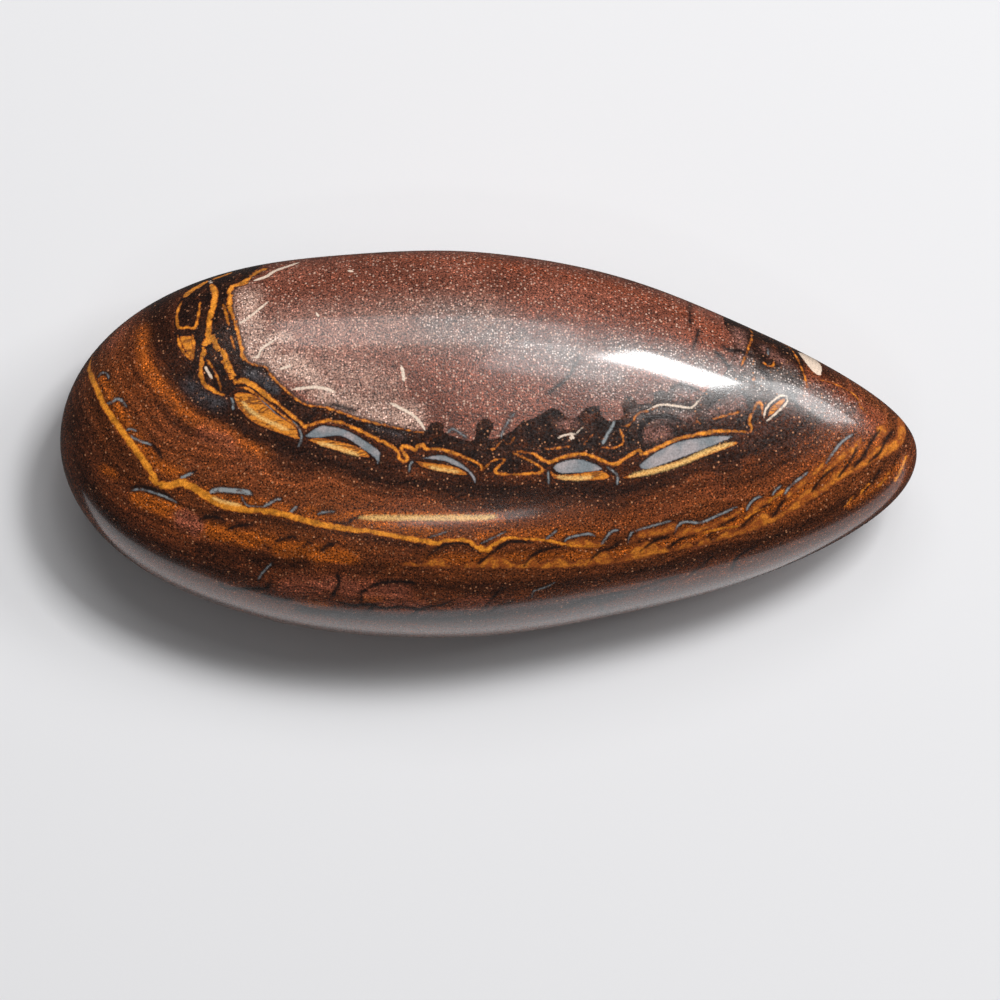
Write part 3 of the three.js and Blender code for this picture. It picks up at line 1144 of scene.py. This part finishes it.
def gold_bodies(sh, colour):
    """The gold of the pods, with dark squiggles along it and a browner rim."""
    depth = sh.depth("gold", 0.9)
    drawn_out = sh.node("ShaderNodeMapping", {"Vector": sh.place, "Scale": (0.35, 1, 1)}).outputs[0]
    squiggle = sh.math("ABSOLUTE", sh.centred(sh.noise(0.4, 3, 0.6, 0.5, drawn_out), 1.0))
    paint = sh.blend(sh.ramp(squiggle, 0.12, 0.02, 0, 0.8), srgb(218, 134, 42), srgb(96, 48, 24))
    paint = sh.blend(sh.ramp(depth, 1.6, 0.0), paint, srgb(160, 82, 28))
    return sh.blend(sh.ramp(depth, -0.6, 0.4), colour, sh.grained(paint, 0.6, 1.3))


def ochre_lines(sh, colour):
    """The orange and gold lines, browner at their edges and uneven along them."""
    depth = sh.add(sh.field("ochre"), sh.add(sh.ragged, sh.centred(sh.noise(0.25), 1.8)))
    uneven = sh.ramp(sh.noise(0.45, 3, 0.6), 0.36, 0.6, 0.55, 1.1)
    paint = sh.blend(sh.ramp(depth, -0.8, 1.8), srgb(160, 76, 24), srgb(236, 148, 46))
    paint = sh.grained(sh.scaled(paint, uneven), 0.6, 1.3)
    return sh.blend(sh.ramp(depth, -1.0, 0.7), colour, paint)


# Painted highlight: pale gold glints along the gold edges, broken up by the grain.
def painted_glints(sh, colour):
    painted_glint = sh.ramp(sh.depth("painted_glint", 1.6), -1.8, 1.4)
    glitter = sh.ramp(sh.grain, 0.36, 0.6, 0.35, 1, smooth=False)
    return sh.blend(sh.times(sh.times(painted_glint, glitter), 0.85), colour, srgb(255, 208, 128))


def pale_cracks(sh, colour):
    pale = sh.ramp(sh.depth("pale", 0.8), -0.7, 0.5)
    return sh.blend(sh.times(pale, 0.9), colour, sh.grained(srgb(246, 222, 200)[:3], 0.75, 1.1))


def polish(sh):
    """A waxy polish under a clear gloss, rougher and bumpier where the stone is hazy."""
    hazy = sh.math("MINIMUM", sh.most(sh.in_kernel, sh.field("grey_and_sheen")), 1.0)
    rough = sh.ramp(sh.noise(0.12, 3, 0.7), 0.35, 0.65, 0.16, 0.34, smooth=False)
    sh.put(sh.math("MULTIPLY_ADD", hazy, 0.1, rough), sh.surface.inputs["Roughness"])
    strength = sh.ramp(hazy, 0, 1, 0.3, 1.0)
    bump = sh.node("ShaderNodeBump", {"Height": sh.grain, "Strength": strength, "Distance": BUMP_MM * MM})
    sh.put(bump.outputs["Normal"], sh.surface.inputs["Normal"])
    for name, value in {"IOR": 1.52, "Coat Weight": 0.6, "Coat Roughness": 0.1}.items():
        sh.surface.inputs[name].default_value = value


# What lies over the ground colours, from the lowest up, and the height of the polish's fine bumps.
LAYERS = [
    crumbly,
    haloed,
    orange_bodies,
    dark_cracks,
    milky_opal,
    opal_slivers,
    gold_bodies,
    ochre_lines,
    painted_glints,
    pale_cracks,
]
BUMP_MM = 0.016


def boulder_opal():
    """Polished boulder opal. The mesh's fields hold each marking's depth in pixels of the photo."""
    sh = Shader("boulder_opal")
    colour = ground(sh)
    for layer in LAYERS:
        colour = layer(sh, colour)
    sh.put(colour, sh.surface.inputs["Base Color"])
    polish(sh)
    return sh.material


def closed_rims(fills):
    return [traced(points + points[:1]) for points in fills]


def filled_rims():
    """The closed rims of the filled markings, by the name of their field."""
    rims = {
        "gold": closed_rims(GOLD_FILLS),
        "opal": closed_rims(OPAL_FILLS),
        "body": closed_rims(ORANGE_FILLS),
        "pale": closed_rims(CREAM_FILLS),
        "kernel": [KERNEL_RIM],
    }
    # A hidden pod has its gold along its lower edge, as the ones in view do.
    for x, degrees, length, across in HIDDEN_PODS:
        rims["opal"].append(hidden(pod_outline(x, degrees, length, across)))
        rims["gold"].append(hidden(pod_outline(x, degrees - across * 0.55, length * 0.8, across * 0.6)))
    return rims


def stone_fields(kinds, rims, angle, turn):
    """The depth of each marking, and the strength of each stain, at each point of the mesh."""
    places = skin(angle, turn)
    fields = {name: marks.depth_at(places) for name, marks in kinds.items()}
    for name, closed in rims.items():
        depth = depth_in(closed, angle, turn, places)
        fields[name] = np.maximum(fields.get(name, depth), depth)
    fields["flow"] = -depth_in([NET_RIM], angle, turn, places)
    for name, patches in STAINS.items():
        fields[name] = stain_at(patches, HIDDEN_STAINS.get(name, []), places)
    return fields


def make_stone():
    kinds = markings()
    rims = filled_rims()
    angle, turn, faces = stone_mesh(kinds, [NET_RIM] + sum(rims.values(), []))

    mesh = bpy.data.meshes.new("boulder_opal_skin")
    mesh.from_pydata((skin(angle, turn) * MM).tolist(), [], faces[:, ::-1].tolist())
    mesh.polygons.foreach_set("use_smooth", [True] * len(mesh.polygons))
    mesh.normals_split_custom_set_from_vertices(skin_normal(angle, turn).tolist())
    for name, values in stone_fields(kinds, rims, angle, turn).items():
        attribute = mesh.attributes.new(name, "FLOAT", "POINT")
        attribute.data.foreach_set("value", values.astype(np.float32))
    mesh.materials.append(boulder_opal())

    stone = bpy.data.objects.new("boulder_opal_skin", mesh)
    bpy.context.collection.objects.link(stone)
    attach(stone, "root")
    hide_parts("boulder_opal_stone")


def plain_material(name, colour, roughness):
    material = bpy.data.materials.new(name)
    material.use_nodes = True
    surface = material.node_tree.nodes["Principled BSDF"]
    surface.inputs["Base Color"].default_value = colour
    surface.inputs["Roughness"].default_value = roughness
    return material


# The photo's stone lies on the edge of a pale strip on a dark ground. The floor is all pale, but only that
# strip of it is seen in the stone's reflections. Its edges are in metres.
STRIP_LEFT = -0.027
STRIP_FRONT = -0.034
STRIP_BACK = -0.00624
STRIP_HEIGHT = 0.00001
FLOOR_REACH = 1.0
FLOOR_COLOUR = srgb(230, 230, 232)
FLOOR_ROUGHNESS = 0.9


def make_floor(name, left, front, back, height, in_reflections):
    corners = [(left, front), (FLOOR_REACH, front), (FLOOR_REACH, back), (left, back)]
    mesh = bpy.data.meshes.new(name)
    mesh.from_pydata([(x, y, height) for x, y in corners], [], [(0, 1, 2, 3)])
    mesh.materials.append(plain_material(name, FLOOR_COLOUR, FLOOR_ROUGHNESS))
    floor = bpy.data.objects.new(name, mesh)
    floor.visible_glossy = in_reflections
    bpy.context.collection.objects.link(floor)


def make_floors():
    make_floor("floor", -FLOOR_REACH, -FLOOR_REACH, FLOOR_REACH, 0, False)
    make_floor("floor_strip", STRIP_LEFT, STRIP_FRONT, STRIP_BACK, STRIP_HEIGHT, True)


# The softboxes face the stone. Each has its azimuth, from +Y towards +X, and elevation in degrees, distance
# and (width, height) in metres, and watts. The last one only fills the shadows.
SOFTBOXES = [
    ("key_softbox", 38.5, 57, 0.45, (0.112, 0.082), 1.25),
    ("side_softbox", -4, 53, 0.45, (0.2, 0.13), 0.3),
    ("near_softbox", 20, 65, 0.45, (0.1, 0.11), 0.18),
    ("far_softbox", 62, 42, 0.45, (0.18, 0.1), 0.6),
    ("front_strip", 180, 64.5, 0.45, (0.11, 0.035), 0.05),
    ("high_fill", 0, 85, 0.6, (0.5, 0.5), 0.3),
]
UNREFLECTED = "high_fill"
WORLD_STRENGTH = 0.045


def make_softbox(name, azimuth, elevation, distance, size, watts):
    light = bpy.data.lights.new(name, "AREA")
    light.shape = "RECTANGLE"
    light.size, light.size_y = size
    light.energy = watts
    lamp = bpy.data.objects.new(name, light)
    bpy.context.collection.objects.link(lamp)
    a, e = radians(azimuth), radians(elevation)
    lamp.location = Vector((np.sin(a) * np.cos(e), np.cos(a) * np.cos(e), np.sin(e))) * distance
    lamp.rotation_euler = lamp.location.to_track_quat("Z", "Y").to_euler()
    lamp.visible_glossy = name != UNREFLECTED


def make_studio():
    for softbox in SOFTBOXES:
        make_softbox(*softbox)
    world = bpy.data.worlds.new("studio")
    world.use_nodes = True
    world.node_tree.nodes["Background"].inputs["Color"].default_value = (1, 1, 1, 1)
    world.node_tree.nodes["Background"].inputs["Strength"].default_value = WORLD_STRENGTH
    bpy.context.scene.world = world


def make_camera():
    camera = bpy.data.cameras.new("photo_camera")
    camera.sensor_width = SENSOR_WIDTH
    camera.lens = SENSOR_WIDTH * FOCAL_PIXELS / FRAME_PIXELS
    camera.clip_start = CLIP_START
    eye = bpy.data.objects.new("photo_camera", camera)
    eye.location = np.array([CAMERA_X, CAMERA_Y, CAMERA_HEIGHT]) * MM
    bpy.context.collection.objects.link(eye)
    bpy.context.scene.camera = eye


bpy.context.scene.view_settings.view_transform = "Standard"
make_camera()
make_studio()
make_floors()
make_stone()
